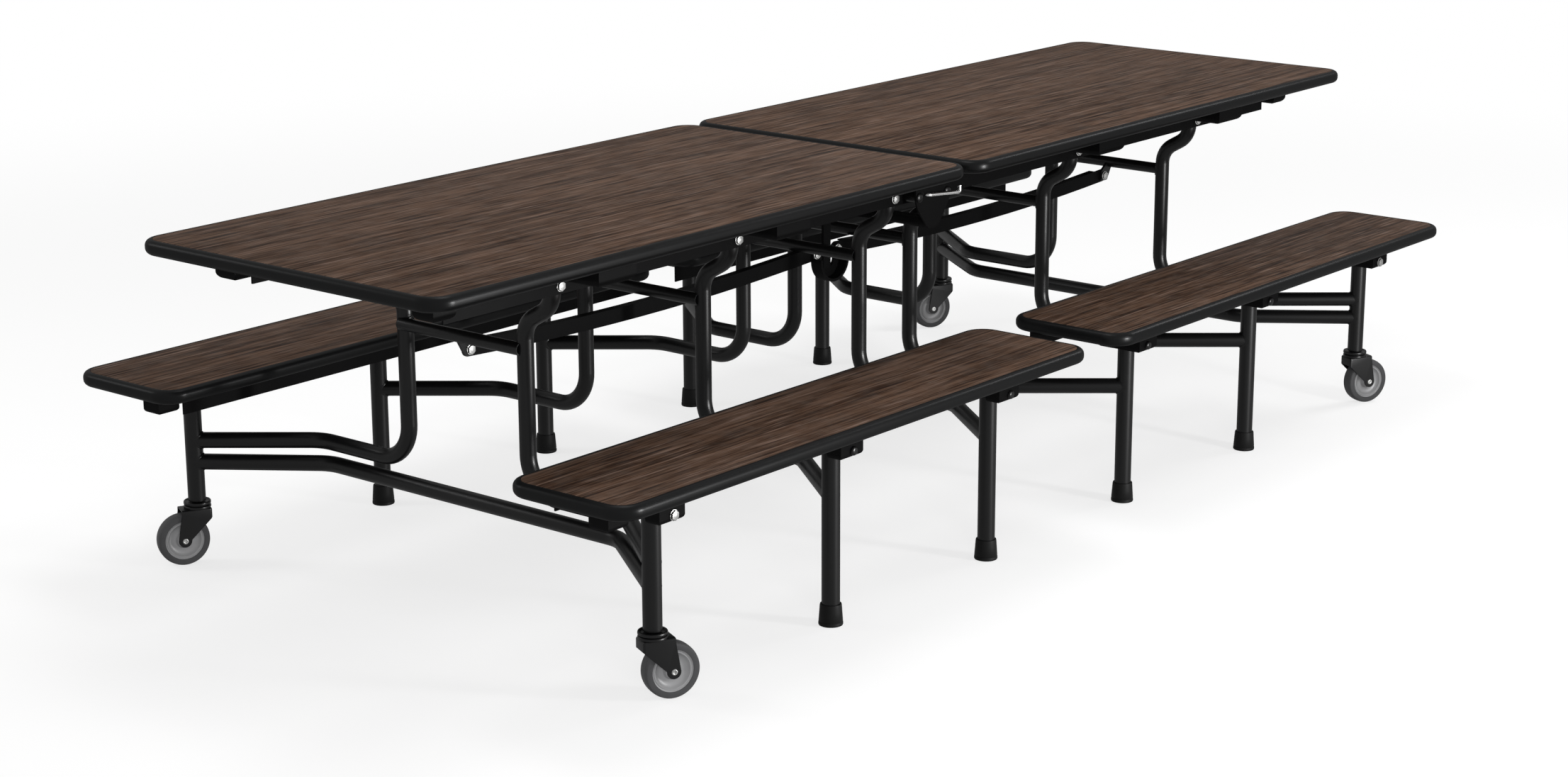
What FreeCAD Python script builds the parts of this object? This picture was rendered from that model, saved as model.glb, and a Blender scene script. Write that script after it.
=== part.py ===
"""Folding cafeteria table with four bench halves, modelled in millimetres.

+X runs along the table from the near half to the far half, +Y to the left, +Z up.
The origin is on the floor under the middle of the table.
"""
import FreeCAD, Part
import math
import os

from FreeCAD import Vector

# Table top: two halves that meet at the middle.
table_length = 3064.0
table_width = 778.0
table_height = 737.0
table_gap = 14.0
board_thickness = 28.0
edge_width = 14.0
edge_rounding = 12.0
corner_radius = 50.0

# Benches: one pair of halves on each side.
bench_height = 415.0
bench_width = 283.0
overall_width = 1440.0
bench_gap = 100.0
bench_end_inset = 94.0

# Steel rails under the table top.
rail_inset = 139.0
rail_depth = 64.0
rail_flange = 40.0
rail_wall = 4.0
rail_centre_inset = 13.0
rail_end_inset = 154.0
end_block_length = 55.0
end_block_width = 52.0
end_block_depth = 49.0
end_block_overhang = 33.0
end_block_rounding = 14.0
end_screw_inset = 14.0
end_screw_drop = 16.0
outrigger_width = 100.0
outrigger_reach = 110.0
outrigger_depth = 37.0
outrigger_rounding = 14.0
outrigger_shift = 34.0
sheet = 3.0
plate_corner = 1.0

# Leg frames.
end_frame_inset = 448.0
inner_frame_offset = 88.0
post_offset = 158.0
post_diameter = 32.0
tube_wall = 2.0
top_pivot_drop = 49.0
pivot_end = 16.0
neck_drop = 41.0
neck_slope = 60.0
neck_radius = 50.0
foot_bend_radius = 75.0
foot_tube_height = 252.0
elbow_run = 200.0
elbow_radius = 75.0
brace_diameter = 25.0
brace_drop = 130.0
brace_offset = 12.0
bar_bracket_shoulder = 4.0
cross_tube_drop = 44.0
cross_tube_elbow_run = 220.0

# Bench legs.
leg_inset = 115.0
leg_stagger = 160.0
leg_diameter = 35.0
bench_pivot_drop = 39.0
leg_end = 16.0
leg_cap = 3.0
ferrule_height = 42.0
ferrule_sole = 6.0
ferrule_wall = 3.0
ferrule_flare = 3.0
ferrule_rounding = 1.5

# Steel under the benches.
bench_rail_inset = 50.0
bench_rail_depth = 37.0
bench_rail_flange = 26.0
bench_rail_end_inset = 78.0
bracket_width = 104.0
bracket_front = 36.0
bracket_back = 30.0
bracket_depth = 52.0
bracket_rounding = 9.0
bracket_gap = 0.5
bracket_slot_gap = 1.5
bench_block_length = 50.0
bench_block_width = 45.0
bench_block_depth = 30.0
bench_block_inset = 26.0
bench_block_side_inset = 59.0
bench_block_rounding = 8.0

# Bolts and pins.
bolt_diameter = 10.0
bolt_head_diameter = 18.0
bolt_head_height = 6.0
running_fit = 0.05
loose_fit = 0.3
bush_diameter = 16.0
face_gap = 0.3
flange_gap = 0.5
screw_head_diameter = 11.0
screw_head_height = 3.0

# Centre link between the two halves.
hinge_offset = 48.0
hinge_pin_diameter = 12.0
hinge_shoulder_diameter = 22.0
hinge_head_diameter = 20.0
hinge_head_height = 5.0
shield_stand_off = 29.0
shield_wall = 4.0
shield_half_width = 60.0
shield_rise = 30.0
shield_shoulder = 15.0
shield_depth = 70.0
shield_tip_half_width = 16.0
shield_rounding = 10.0
shield_shoulder_radius = 60.0
shield_tip_radius = 25.0
link_tube_diameter = 25.0
link_tube_drop = 60.0
anchor_wall = 6.0
anchor_arm = 24.0
anchor_depth = 62.0
strap_width = 28.0
strap_wall = 6.0

# Sync bars from the end frames to the centre link.
bar_drop = 160.0
bar_offset = 12.0
bar_depth = 30.0
bar_bow = 16.0
bar_flange = 18.0
bar_wall = 3.0
bar_gap = 0.4

# Latch levers on the centre link.
lever_diameter = 7.0
lever_pivot_offset = 28.0
lever_pivot_rise = 4.0
lever_length = 108.0
lever_fall = 10.0
lever_hook = 14.0
lever_stand_off = 9.0
lever_bend_radius = 8.0
lever_hook_radius = 4.0
lever_inner_end = 11.0

# Casters under the end frames.
wheel_diameter = 104.0
wheel_width = 30.0
tread_depth = 13.0
tread_rounding = 4.0
rim_inset = 1.0
hub_web = 12.0
hub_boss_diameter = 30.0
axle_diameter = 10.0
trail = 32.0
wheel_gap = 2.0
fork_wall = 3.0
fork_crown = 6.0
fork_clearance = 5.0
fork_front = 25.0
fork_back = 36.0
fork_skirt = 10.0
fork_foot_radius = 13.0
swivel_diameter = 54.0
swivel_height = 14.0
stem_diameter = 20.0
stem_length = 30.0
caster_angle = 26.0

# Derived places, for the near half, where x is negative.
table_end = table_length / 2
board_under = table_height - board_thickness
bench_under = bench_height - board_thickness
bench_outer = overall_width / 2
bench_inner = bench_outer - bench_width
leg_line = bench_outer - leg_inset
rail_face = table_width / 2 - rail_inset
post_radius = post_diameter / 2
leg_radius = leg_diameter / 2
post_top_line = rail_face - rail_wall - flange_gap - post_radius
top_pivot_z = board_under - top_pivot_drop
bench_pivot_z = bench_under - bench_pivot_drop
end_frame_x = table_end - end_frame_inset
middle_frame_x = (end_frame_x + inner_frame_offset) / 2
cross_tube_z = foot_tube_height - cross_tube_drop
brace_z = top_pivot_z - brace_drop
bar_z = top_pivot_z - bar_drop
wheel_radius = wheel_diameter / 2
fork_top = wheel_diameter + fork_clearance + fork_crown
caster_leg_bottom = fork_top + swivel_height
shield_face = rail_face + shield_stand_off

# How far a cutter runs past the piece it cuts.
overshoot = 1.0

frames = {"end": end_frame_x, "middle": middle_frame_x, "inner": inner_frame_offset}


def box(x0, x1, y0, y1, z0, z1):
    return Part.makeBox(x1 - x0, y1 - y0, z1 - z0, Vector(x0, y0, z0))


def rod(start, end, radius):
    axis = end - start
    return Part.makeCylinder(radius, axis.Length, start, axis)


def rod_along_y(x, z, y0, y1, radius):
    return rod(Vector(x, y0, z), Vector(x, y1, z), radius)


def to_far(shape):
    return shape.mirror(Vector(0, 0, 0), Vector(1, 0, 0))


def to_right(shape):
    return shape.mirror(Vector(0, 0, 0), Vector(0, 1, 0))


def both_sides(shape):
    return [shape, to_right(shape)]


def smooth_wire(points, radii, closed=False):
    """Straight runs through the points, with a tangent arc at each inner point."""
    count = len(points)
    corners = range(count) if closed else range(1, count - 1)
    edges = []
    first = None if closed else points[0]
    last = first
    for corner, radius in zip(corners, radii):
        here = points[corner]
        back = (points[corner - 1] - here).normalize()
        ahead = (points[(corner + 1) % count] - here).normalize()
        half_turn = (math.pi - back.getAngle(ahead)) / 2
        reach = radius * math.tan(half_turn)
        middle = (back + ahead).normalize() * (radius / math.cos(half_turn) - radius)
        arc_start = here + back * reach
        arc_end = here + ahead * reach
        if last is None:
            first = arc_start
        else:
            edges.append(Part.LineSegment(last, arc_start).toShape())
        edges.append(Part.Arc(arc_start, here + middle, arc_end).toShape())
        last = arc_end
    edges.append(Part.LineSegment(last, first if closed else points[-1]).toShape())
    return Part.Wire(edges)


def swept_rod(points, radii, radius):
    path = smooth_wire(points, radii)
    circle = Part.Circle(points[0], points[1] - points[0], radius).toShape()
    return path.makePipeShell([Part.Wire(circle)], True, False)


def bent_tube(points, radii, diameter):
    outside = swept_rod(points, radii, diameter / 2)
    return outside.cut(swept_rod(points, radii, diameter / 2 - tube_wall))


def plate_xz(outline, radii, y0, y1):
    """A flat plate across Y, from an outline of (x, z) corners."""
    corners = [Vector(x, y0, z) for x, z in outline]
    face = Part.Face(smooth_wire(corners, radii, closed=True))
    return face.extrude(Vector(0, y1 - y0, 0))


def rounded_block(x0, x1, y0, y1, z0, z1, radius):
    corners = [Vector(x0, y0, z0), Vector(x1, y0, z0), Vector(x1, y1, z0), Vector(x0, y1, z0)]
    face = Part.Face(smooth_wire(corners, [radius] * 4, closed=True))
    return face.extrude(Vector(0, 0, z1 - z0))


# Boards with their moulded edge.

def board(x0, x1, y0, y1, top):
    return rounded_block(x0 + edge_width, x1 - edge_width, y0 + edge_width, y1 - edge_width,
                         top - board_thickness, top, corner_radius - edge_width)


def board_edge(x0, x1, y0, y1, top):
    whole = rounded_block(x0, x1, y0, y1, top - board_thickness, top, corner_radius)
    flat = [edge for edge in whole.Edges if abs(edge.BoundBox.ZMax - edge.BoundBox.ZMin) < overshoot]
    return whole.makeFillet(edge_rounding, flat).cut(board(x0, x1, y0, y1, top))


def table_plan():
    return -table_end, -table_gap / 2, -table_width / 2, table_width / 2, table_height


def bench_plan():
    return -table_end + bench_end_inset, -bench_gap / 2, bench_inner, bench_outer, bench_height


# Steel under the table top.

def soft_block(x0, x1, y0, y1, z0, z1, radius):
    """A block with rounded lower corners and upright edges."""
    block = box(x0, x1, y0, y1, z0, z1)
    low = [edge for edge in block.Edges if edge.BoundBox.ZMax < z1 - overshoot]
    return block.makeFillet(radius, low)


def pressed_cup(x0, x1, y0, y1, depth, rounding, top):
    """A cup pressed from sheet, with its open side up against the board."""
    outside = soft_block(x0, x1, y0, y1, top - depth, top, rounding)
    return outside.cut(soft_block(x0 + sheet, x1 - sheet, y0 + sheet, y1 - sheet,
                                  top - depth + sheet, top, rounding - sheet))


def top_rail():
    x0 = -table_end + rail_end_inset
    x1 = -table_gap / 2 - rail_centre_inset
    upright = box(x0, x1, rail_face - rail_wall, rail_face, board_under - rail_depth, board_under)
    ledge = box(x0, x1, rail_face - rail_flange, rail_face, board_under - rail_wall, board_under)
    rail = upright.fuse(ledge)
    for x in frames.values():
        hole = rod_along_y(-x, top_pivot_z, 0, rail_face + overshoot, bolt_diameter / 2 + running_fit)
        rail = rail.cut(hole)
    return rail.cut(rod_along_y(-hinge_offset, top_pivot_z, 0, rail_face + overshoot,
                                hinge_pin_diameter / 2 + running_fit))


def top_end_block():
    x1 = -table_end + rail_end_inset
    y1 = rail_face + end_block_overhang
    return pressed_cup(x1 - end_block_length, x1, y1 - end_block_width, y1,
                       end_block_depth, end_block_rounding, board_under)


def top_outrigger(frame_x):
    x0 = -frame_x + outrigger_shift - outrigger_width / 2
    return pressed_cup(x0, x0 + outrigger_width, rail_face, rail_face + outrigger_reach,
                       outrigger_depth, outrigger_rounding, board_under)


def top_steel():
    steel = top_rail().fuse([top_end_block(), top_outrigger(end_frame_x), top_outrigger(middle_frame_x)])
    return both_sides(steel.removeSplitter())


def top_screws():
    """Button screws in the outer faces of the end blocks."""
    face = rail_face + end_block_overhang
    x = -table_end + rail_end_inset - end_screw_inset
    z = board_under - end_screw_drop
    return both_sides(rod_along_y(x, z, face, face + screw_head_height, screw_head_diameter / 2))


# Leg frames, each with its posts at x and its bench legs further out.

def leg_axis(x, z0, z1, radius):
    return rod(Vector(x - leg_stagger, leg_line, z0), Vector(x - leg_stagger, leg_line, z1), radius)


def frame_post(x):
    neck_top = top_pivot_z - neck_drop
    neck_bottom = neck_top - (post_top_line - post_offset) / math.tan(math.radians(neck_slope))
    points = [
        Vector(x, post_top_line, top_pivot_z + pivot_end),
        Vector(x, post_top_line, neck_top),
        Vector(x, post_offset, neck_bottom),
        Vector(x, post_offset, foot_tube_height),
        Vector(x, leg_line - elbow_run, foot_tube_height),
        Vector(x - leg_stagger, leg_line, foot_tube_height),
    ]
    radii = [neck_radius, neck_radius, foot_bend_radius, elbow_radius]
    post = bent_tube(points, radii, post_diameter)
    post = post.cut(leg_axis(x, 0, bench_height, leg_radius))
    return post.cut(rod_along_y(x, top_pivot_z, 0, rail_face, bolt_diameter / 2))


def frame_brace(x):
    ends = [Vector(x - brace_offset, -post_offset, brace_z), Vector(x - brace_offset, post_offset, brace_z)]
    brace = rod(ends[0], ends[1], brace_diameter / 2)
    brace = brace.cut(rod(ends[0], ends[1], brace_diameter / 2 - tube_wall))
    for y in (-post_offset, post_offset):
        brace = brace.cut(rod(Vector(x, y, 0), Vector(x, y, top_pivot_z), post_radius))
    return brace


def cross_tube(x):
    elbow = leg_line - cross_tube_elbow_run
    points = [
        Vector(x - leg_stagger, -leg_line, cross_tube_z),
        Vector(x, -elbow, cross_tube_z),
        Vector(x, elbow, cross_tube_z),
        Vector(x - leg_stagger, leg_line, cross_tube_z),
    ]
    tube = bent_tube(points, [elbow_radius, elbow_radius], post_diameter)
    leg = leg_axis(x, 0, bench_height, leg_radius)
    return tube.cut(leg).cut(to_right(leg))


def bar_bracket(x):
    """The plate under an end frame's brace that carries the sync bar's pin."""
    half = anchor_arm / 2
    brace_x = x - brace_offset
    bar_x = x + bar_offset
    outline = [(brace_x - half, brace_z), (brace_x + half, brace_z), (bar_x + half, bar_z + half),
               (bar_x + half, bar_z - half), (bar_x - half, bar_z - half)]
    radii = [plate_corner, bar_bracket_shoulder, half / 2, half / 2, half / 2]
    plate = plate_xz(outline, radii, -anchor_wall / 2, anchor_wall / 2)
    tube = rod(Vector(brace_x, -post_offset, brace_z), Vector(brace_x, post_offset, brace_z),
               brace_diameter / 2)
    return plate.cut(tube).cut(rod_along_y(bar_x, bar_z, -anchor_wall, anchor_wall, bolt_diameter / 2))


def frame_tubes(name, x):
    pieces = both_sides(frame_post(x)) + [frame_brace(x)]
    if name == "end":
        pieces += [cross_tube(x), bar_bracket(x)]
    return pieces


def bench_leg(name, x):
    top = bench_pivot_z + leg_end
    bottom = caster_leg_bottom if name == "end" else ferrule_sole
    leg = leg_axis(x, bottom, top, leg_radius)
    leg = leg.cut(leg_axis(x, bottom, top - leg_cap, leg_radius - tube_wall))
    if name == "end":
        socket = leg_axis(x, bottom, bottom + stem_length, leg_radius - tube_wall)
        leg = leg.fuse(socket.cut(leg_axis(x, bottom, bottom + stem_length,
                                           stem_diameter / 2 + running_fit)))
    return leg.cut(rod_along_y(x - leg_stagger, bench_pivot_z, leg_line - leg_diameter,
                               leg_line + leg_diameter, bolt_diameter / 2))


def ferrule(x):
    base = Vector(x - leg_stagger, leg_line, 0)
    top_radius = leg_radius + ferrule_wall
    cup = Part.makeCone(top_radius + ferrule_flare, top_radius, ferrule_height, base)
    rim = [edge for edge in cup.Edges if edge.BoundBox.ZMax < overshoot]
    return cup.makeFillet(ferrule_rounding, rim).cut(leg_axis(x, ferrule_sole, ferrule_height, leg_radius))


def bolt_across(x, z, y0, y1):
    """A bolt along Y with a round head at each end of its grip."""
    shank = rod_along_y(x, z, y0 - bolt_head_height, y1 + bolt_head_height, bolt_diameter / 2)
    heads = [rod_along_y(x, z, y1, y1 + bolt_head_height, bolt_head_diameter / 2),
             rod_along_y(x, z, y0 - bolt_head_height, y0, bolt_head_diameter / 2)]
    return shank.fuse(heads).removeSplitter()


def frame_bolts(name, x):
    top_bolt = bolt_across(x, top_pivot_z, post_top_line - post_radius, rail_face + face_gap)
    grip = bracket_width / 2 + face_gap
    bench_bolt = bolt_across(x - leg_stagger, bench_pivot_z, leg_line - grip, leg_line + grip)
    bolts = both_sides(top_bolt) + both_sides(bench_bolt)
    if name == "end":
        bolts.append(bolt_across(x + bar_offset, bar_z, -anchor_wall / 2,
                                 anchor_wall / 2 + bar_gap + bar_wall + face_gap))
    return bolts


# Steel under one bench half.

def bench_rail():
    x0 = -table_end + bench_end_inset + bench_rail_end_inset
    x1 = -bench_gap / 2 - edge_width
    y0 = bench_inner + bench_rail_inset
    upright = box(x0, x1, y0, y0 + sheet, bench_under - bench_rail_depth, bench_under)
    return upright.fuse(box(x0, x1, y0, y0 + bench_rail_flange, bench_under - sheet, bench_under))


def bench_bracket(x):
    """A pressed cup round one leg top, slotted so that the leg can swing out of it."""
    leg_x = -x - leg_stagger
    x0 = leg_x - bracket_front
    y0 = leg_line - bracket_width / 2
    cup = pressed_cup(x0, leg_x + bracket_back, y0, y0 + bracket_width, bracket_depth,
                      bracket_rounding, bench_under)
    lid = box(x0, leg_x + bracket_back, bench_inner + bench_rail_inset, y0 + bracket_width,
              bench_under - sheet, bench_under)
    slot_half = leg_radius + bracket_slot_gap
    leg_corner = math.hypot(leg_end, leg_radius)
    slot = box(x0 - overshoot, leg_x + leg_corner + bracket_slot_gap, leg_line - slot_half,
               leg_line + slot_half, bench_under - bracket_depth - overshoot, bench_under - sheet)
    bracket = cup.fuse(lid).cut(slot)
    for side in (-1, 1):
        bush = rod_along_y(leg_x, bench_pivot_z, leg_line + side * (leg_radius + bracket_gap),
                           leg_line + side * (bracket_width / 2 - sheet), bush_diameter / 2)
        bracket = bracket.fuse(bush)
    return bracket.cut(rod_along_y(leg_x, bench_pivot_z, bench_inner, bench_outer,
                                   bolt_diameter / 2 + running_fit))


def bench_end_block(outer):
    """The block at a bench's end, to its outer or its inner side."""
    x0 = -table_end + bench_end_inset + bench_block_inset
    y0 = bench_inner + bench_block_side_inset
    if outer:
        y0 = bench_outer - bench_block_side_inset - bench_block_width
    return pressed_cup(x0, x0 + bench_block_length, y0, y0 + bench_block_width,
                       bench_block_depth, bench_block_rounding, bench_under)


def bench_steel(outer):
    rail = bench_rail().fuse([bench_bracket(x) for x in frames.values()])
    return [rail.removeSplitter(), bench_end_block(outer)]


# Centre link, sync bars and latch levers.

def shield():
    top = top_pivot_z + shield_rise
    shoulder = top_pivot_z - shield_shoulder
    tip = top_pivot_z - shield_depth
    wide = shield_half_width
    narrow = shield_tip_half_width
    outline = [(-wide, top), (wide, top), (wide, shoulder), (narrow, tip), (-narrow, tip), (-wide, shoulder)]
    radii = [shield_rounding, shield_rounding, shield_shoulder_radius, shield_tip_radius,
             shield_tip_radius, shield_shoulder_radius]
    plate = plate_xz(outline, radii, shield_face, shield_face + shield_wall)
    for x in (-hinge_offset, hinge_offset):
        plate = plate.cut(rod_along_y(x, top_pivot_z, shield_face, shield_face + shield_wall,
                                      hinge_pin_diameter / 2))
    lever_x = -lever_pivot_offset
    return plate.cut(rod_along_y(lever_x, top_pivot_z + lever_pivot_rise, 0,
                                 shield_face + shield_wall, lever_diameter / 2 + running_fit))


def link_tube():
    z = top_pivot_z - link_tube_drop
    tube = rod_along_y(0, z, -shield_face, shield_face, link_tube_diameter / 2)
    return tube.cut(rod_along_y(0, z, -shield_face, shield_face, link_tube_diameter / 2 - tube_wall))


def anchor_strap(wide, low):
    """The broad strap round the bowl, on the side away from the bars."""
    y0 = anchor_wall / 2 - strap_width
    top = bar_z - bolt_head_diameter / 2 - face_gap
    inner = wide - strap_wall
    outside = plate_xz([(-wide, top), (wide, top), (wide, low), (-wide, low)],
                       [plate_corner, plate_corner, wide - plate_corner, wide - plate_corner],
                       y0, anchor_wall / 2)
    inside = plate_xz([(-inner, top + overshoot), (inner, top + overshoot),
                       (inner, low + strap_wall), (-inner, low + strap_wall)],
                      [plate_corner, plate_corner, inner - plate_corner, inner - plate_corner],
                      y0, anchor_wall / 2)
    return outside.cut(inside)


def anchor():
    """The U-shaped plate that hangs from the link tube and holds the inner ends of the bars."""
    arm_x = hinge_offset - bar_offset
    half = anchor_arm / 2
    wide = arm_x + half
    low = bar_z - anchor_depth
    bowl = plate_xz([(-wide, bar_z), (wide, bar_z), (wide, low), (-wide, low)],
                    [plate_corner, plate_corner, wide - plate_corner, wide - plate_corner],
                    -anchor_wall / 2, anchor_wall / 2)
    inside = arm_x - half
    hollow = plate_xz([(-inside, bar_z + overshoot), (inside, bar_z + overshoot),
                       (inside, low + anchor_arm), (-inside, low + anchor_arm)],
                      [plate_corner, plate_corner, inside - plate_corner, inside - plate_corner],
                      -anchor_wall, anchor_wall)
    plate = bowl.cut(hollow).fuse(anchor_strap(wide, low))
    tube_z = top_pivot_z - link_tube_drop
    plate = plate.fuse(box(-half, half, -anchor_wall / 2, anchor_wall / 2, low + half, tube_z))
    for x in (-arm_x, arm_x):
        plate = plate.fuse(rod_along_y(x, bar_z, -anchor_wall / 2, anchor_wall / 2, half))
    for x in (-arm_x, arm_x):
        plate = plate.cut(rod_along_y(x, bar_z, -anchor_wall, anchor_wall, bolt_diameter / 2))
    return plate.cut(rod_along_y(0, tube_z, -anchor_wall, anchor_wall, link_tube_diameter / 2))


def centre_link():
    return both_sides(shield()) + [link_tube(), anchor()]


def hinge_pin(x):
    inner = rail_face - rail_wall - face_gap
    outer = shield_face + shield_wall
    pin = rod_along_y(x, top_pivot_z, inner - hinge_head_height, outer + hinge_head_height,
                      hinge_pin_diameter / 2)
    shoulder = rod_along_y(x, top_pivot_z, rail_face + face_gap, shield_face, hinge_shoulder_diameter / 2)
    heads = [rod_along_y(x, top_pivot_z, inner - hinge_head_height, inner, hinge_head_diameter / 2),
             rod_along_y(x, top_pivot_z, outer, outer + hinge_head_height, hinge_head_diameter / 2)]
    return pin.fuse([shoulder] + heads).removeSplitter()


def link_pins():
    pins = both_sides(hinge_pin(-hinge_offset)) + both_sides(hinge_pin(hinge_offset))
    for x in (bar_offset - hinge_offset, hinge_offset - bar_offset):
        pins.append(bolt_across(x, bar_z, -anchor_wall / 2, anchor_wall / 2 + bar_gap + bar_wall + face_gap))
    return pins


def bowed_band(x0, x1, half, y0, y1):
    """A band along the bar's bowed middle line, half its depth to each side."""
    reach = (x1 - x0) / 2
    radius = (reach ** 2 + bar_bow ** 2) / (2 * bar_bow)
    centre = Vector((x0 + x1) / 2, y0, bar_z + radius - bar_bow)
    turn = math.asin(reach / radius)

    def at(distance, angle):
        return centre + Vector(math.sin(angle), 0, -math.cos(angle)) * distance

    outer = radius + half
    inner = radius - half
    edges = [
        Part.Arc(at(outer, -turn), at(outer, 0), at(outer, turn)).toShape(),
        Part.LineSegment(at(outer, turn), at(inner, turn)).toShape(),
        Part.Arc(at(inner, turn), at(inner, 0), at(inner, -turn)).toShape(),
        Part.LineSegment(at(inner, -turn), at(outer, -turn)).toShape(),
    ]
    return Part.Face(Part.Wire(edges)).extrude(Vector(0, y1 - y0, 0))


def sync_bar():
    x0 = -end_frame_x + bar_offset
    x1 = -hinge_offset + bar_offset
    half = bar_depth / 2
    y0 = anchor_wall / 2 + bar_gap
    y1 = y0 + bar_wall
    hollow = bowed_band(x0, x1, half - bar_wall, y1, y0 + bar_flange)
    flanges = bowed_band(x0, x1, half, y0, y0 + bar_flange).cut(hollow)
    for x in (x0, x1):
        flanges = flanges.cut(box(x - bar_depth, x + bar_depth, y1, y0 + bar_flange,
                                  bar_z - bar_depth, bar_z + bar_depth))
    bar = flanges.fuse([rod_along_y(x, bar_z, y0, y1, half) for x in (x0, x1)]).removeSplitter()
    bar = bar.cut(rod_along_y(x0, bar_z, y0, y1, bolt_diameter / 2 + running_fit))
    return bar.cut(rod_along_y(x1, bar_z, y0, y1, bolt_diameter / 2 + loose_fit))


def latch_lever():
    pivot_x = -lever_pivot_offset
    pivot_z = top_pivot_z + lever_pivot_rise
    y0 = shield_face - lever_inner_end
    y1 = shield_face + shield_wall + lever_stand_off
    far_x = pivot_x + lever_length
    points = [
        Vector(pivot_x, y0, pivot_z),
        Vector(pivot_x, y1, pivot_z),
        Vector(far_x, y1, pivot_z - lever_fall),
        Vector(far_x, y1, pivot_z - lever_fall + lever_hook),
    ]
    return swept_rod(points, [lever_bend_radius, lever_hook_radius], lever_diameter / 2)


# Casters, built at the origin with the wheel trailing along +X, then turned and moved.

def fork_cheek(y0):
    """One side of the fork: straight down at the front, then in to a round foot at the axle."""
    outline = [(-fork_front, fork_top), (fork_back, fork_top), (fork_back, fork_top - fork_skirt),
               (trail + fork_foot_radius, wheel_radius), (trail - fork_foot_radius, wheel_radius),
               (-fork_front, fork_top - 2 * fork_skirt)]
    corners = [Vector(x, y0, z) for x, z in outline]
    cheek = Part.Face(Part.makePolygon(corners + corners[:1])).extrude(Vector(0, fork_wall, 0))
    return cheek.fuse(rod_along_y(trail, wheel_radius, y0, y0 + fork_wall, fork_foot_radius))


def caster_fork():
    half = wheel_width / 2 + wheel_gap
    outer = half + fork_wall
    crown = box(-fork_front, fork_back, -outer, outer, wheel_diameter + fork_clearance, fork_top)
    swivel = rod(Vector(0, 0, fork_top), Vector(0, 0, caster_leg_bottom - face_gap), swivel_diameter / 2)
    stem = rod(Vector(0, 0, fork_top), Vector(0, 0, caster_leg_bottom + stem_length - face_gap),
               stem_diameter / 2)
    axle = rod_along_y(trail, wheel_radius, -outer, outer, axle_diameter / 2)
    return crown.fuse([fork_cheek(-outer), fork_cheek(half), swivel, stem, axle]).removeSplitter()


def wheel_disc(radius, half_width):
    return rod(Vector(trail, -half_width, wheel_radius), Vector(trail, half_width, wheel_radius), radius)


def caster_tread():
    tread = wheel_disc(wheel_radius, wheel_width / 2)
    tread = tread.makeFillet(tread_rounding, tread.Edges)
    return tread.cut(wheel_disc(wheel_radius - tread_depth, wheel_width))


def caster_hub():
    rim_radius = wheel_radius - tread_depth
    rim = wheel_disc(rim_radius, wheel_width / 2 - rim_inset).cut(wheel_disc(rim_radius - sheet, wheel_width))
    boss = wheel_disc(hub_boss_diameter / 2, wheel_width / 2)
    hub = wheel_disc(rim_radius, hub_web / 2).fuse([rim, boss]).removeSplitter()
    return hub.cut(wheel_disc(axle_diameter / 2 + running_fit, wheel_width))


def placed_caster(shape, half_sign, side_sign):
    """Turned to trail away from the table's middle line, and set under its leg."""
    turned = shape.copy()
    turned.rotate(Vector(0, 0, 0), Vector(0, 0, 1), -caster_angle if side_sign < 0 else 180 - caster_angle)
    turned.translate(Vector(half_sign * (end_frame_x + leg_stagger), side_sign * leg_line, 0))
    return turned


def export(name, shapes):
    Part.makeCompound(shapes).exportStep(os.path.join("parts", name + ".step"))


def export_halves(name, shapes):
    export("near_" + name, shapes)
    export("far_" + name, [to_far(shape) for shape in shapes])


def export_quarters(name, shapes):
    export_halves("left_" + name, shapes)
    export_halves("right_" + name, [to_right(shape) for shape in shapes])


def main():
    os.makedirs("parts", exist_ok=True)
    export_halves("top_board", [board(*table_plan())])
    export_halves("top_edge", [board_edge(*table_plan())])
    export_halves("top_rails", top_steel())
    export_halves("top_screws", top_screws())
    for name, x in frames.items():
        export_halves(name + "_frame_tubes", frame_tubes(name, -x))
        export_halves(name + "_frame_legs", both_sides(bench_leg(name, -x)))
        export_halves(name + "_frame_bolts", frame_bolts(name, -x))
        if name != "end":
            export_halves(name + "_frame_feet", both_sides(ferrule(-x)))
    export_quarters("bench_board", [board(*bench_plan())])
    export_quarters("bench_edge", [board_edge(*bench_plan())])
    # All four benches have their end block to the same hand, seen from their own end of the table.
    inner, outer = bench_steel(False), bench_steel(True)
    export("near_left_bench_brackets", inner)
    export("near_right_bench_brackets", [to_right(shape) for shape in outer])
    export("far_left_bench_brackets", [to_far(shape) for shape in outer])
    export("far_right_bench_brackets", [to_far(to_right(shape)) for shape in inner])
    export("centre_link", centre_link())
    export("link_pins", link_pins())
    export_halves("sync_bar", [sync_bar()])
    export("left_latch_lever", [latch_lever()])
    export("right_latch_lever", [to_right(latch_lever())])
    casters = {"caster_fork": caster_fork(), "caster_tread": caster_tread(), "caster_hub": caster_hub()}
    for half, half_sign in (("near", -1), ("far", 1)):
        for side, side_sign in (("left", 1), ("right", -1)):
            for name, shape in casters.items():
                export("_".join((half, side, name)), [placed_caster(shape, half_sign, side_sign)])


main()
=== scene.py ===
import math

import bmesh
import bpy
from mathutils import Matrix, Vector


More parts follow.
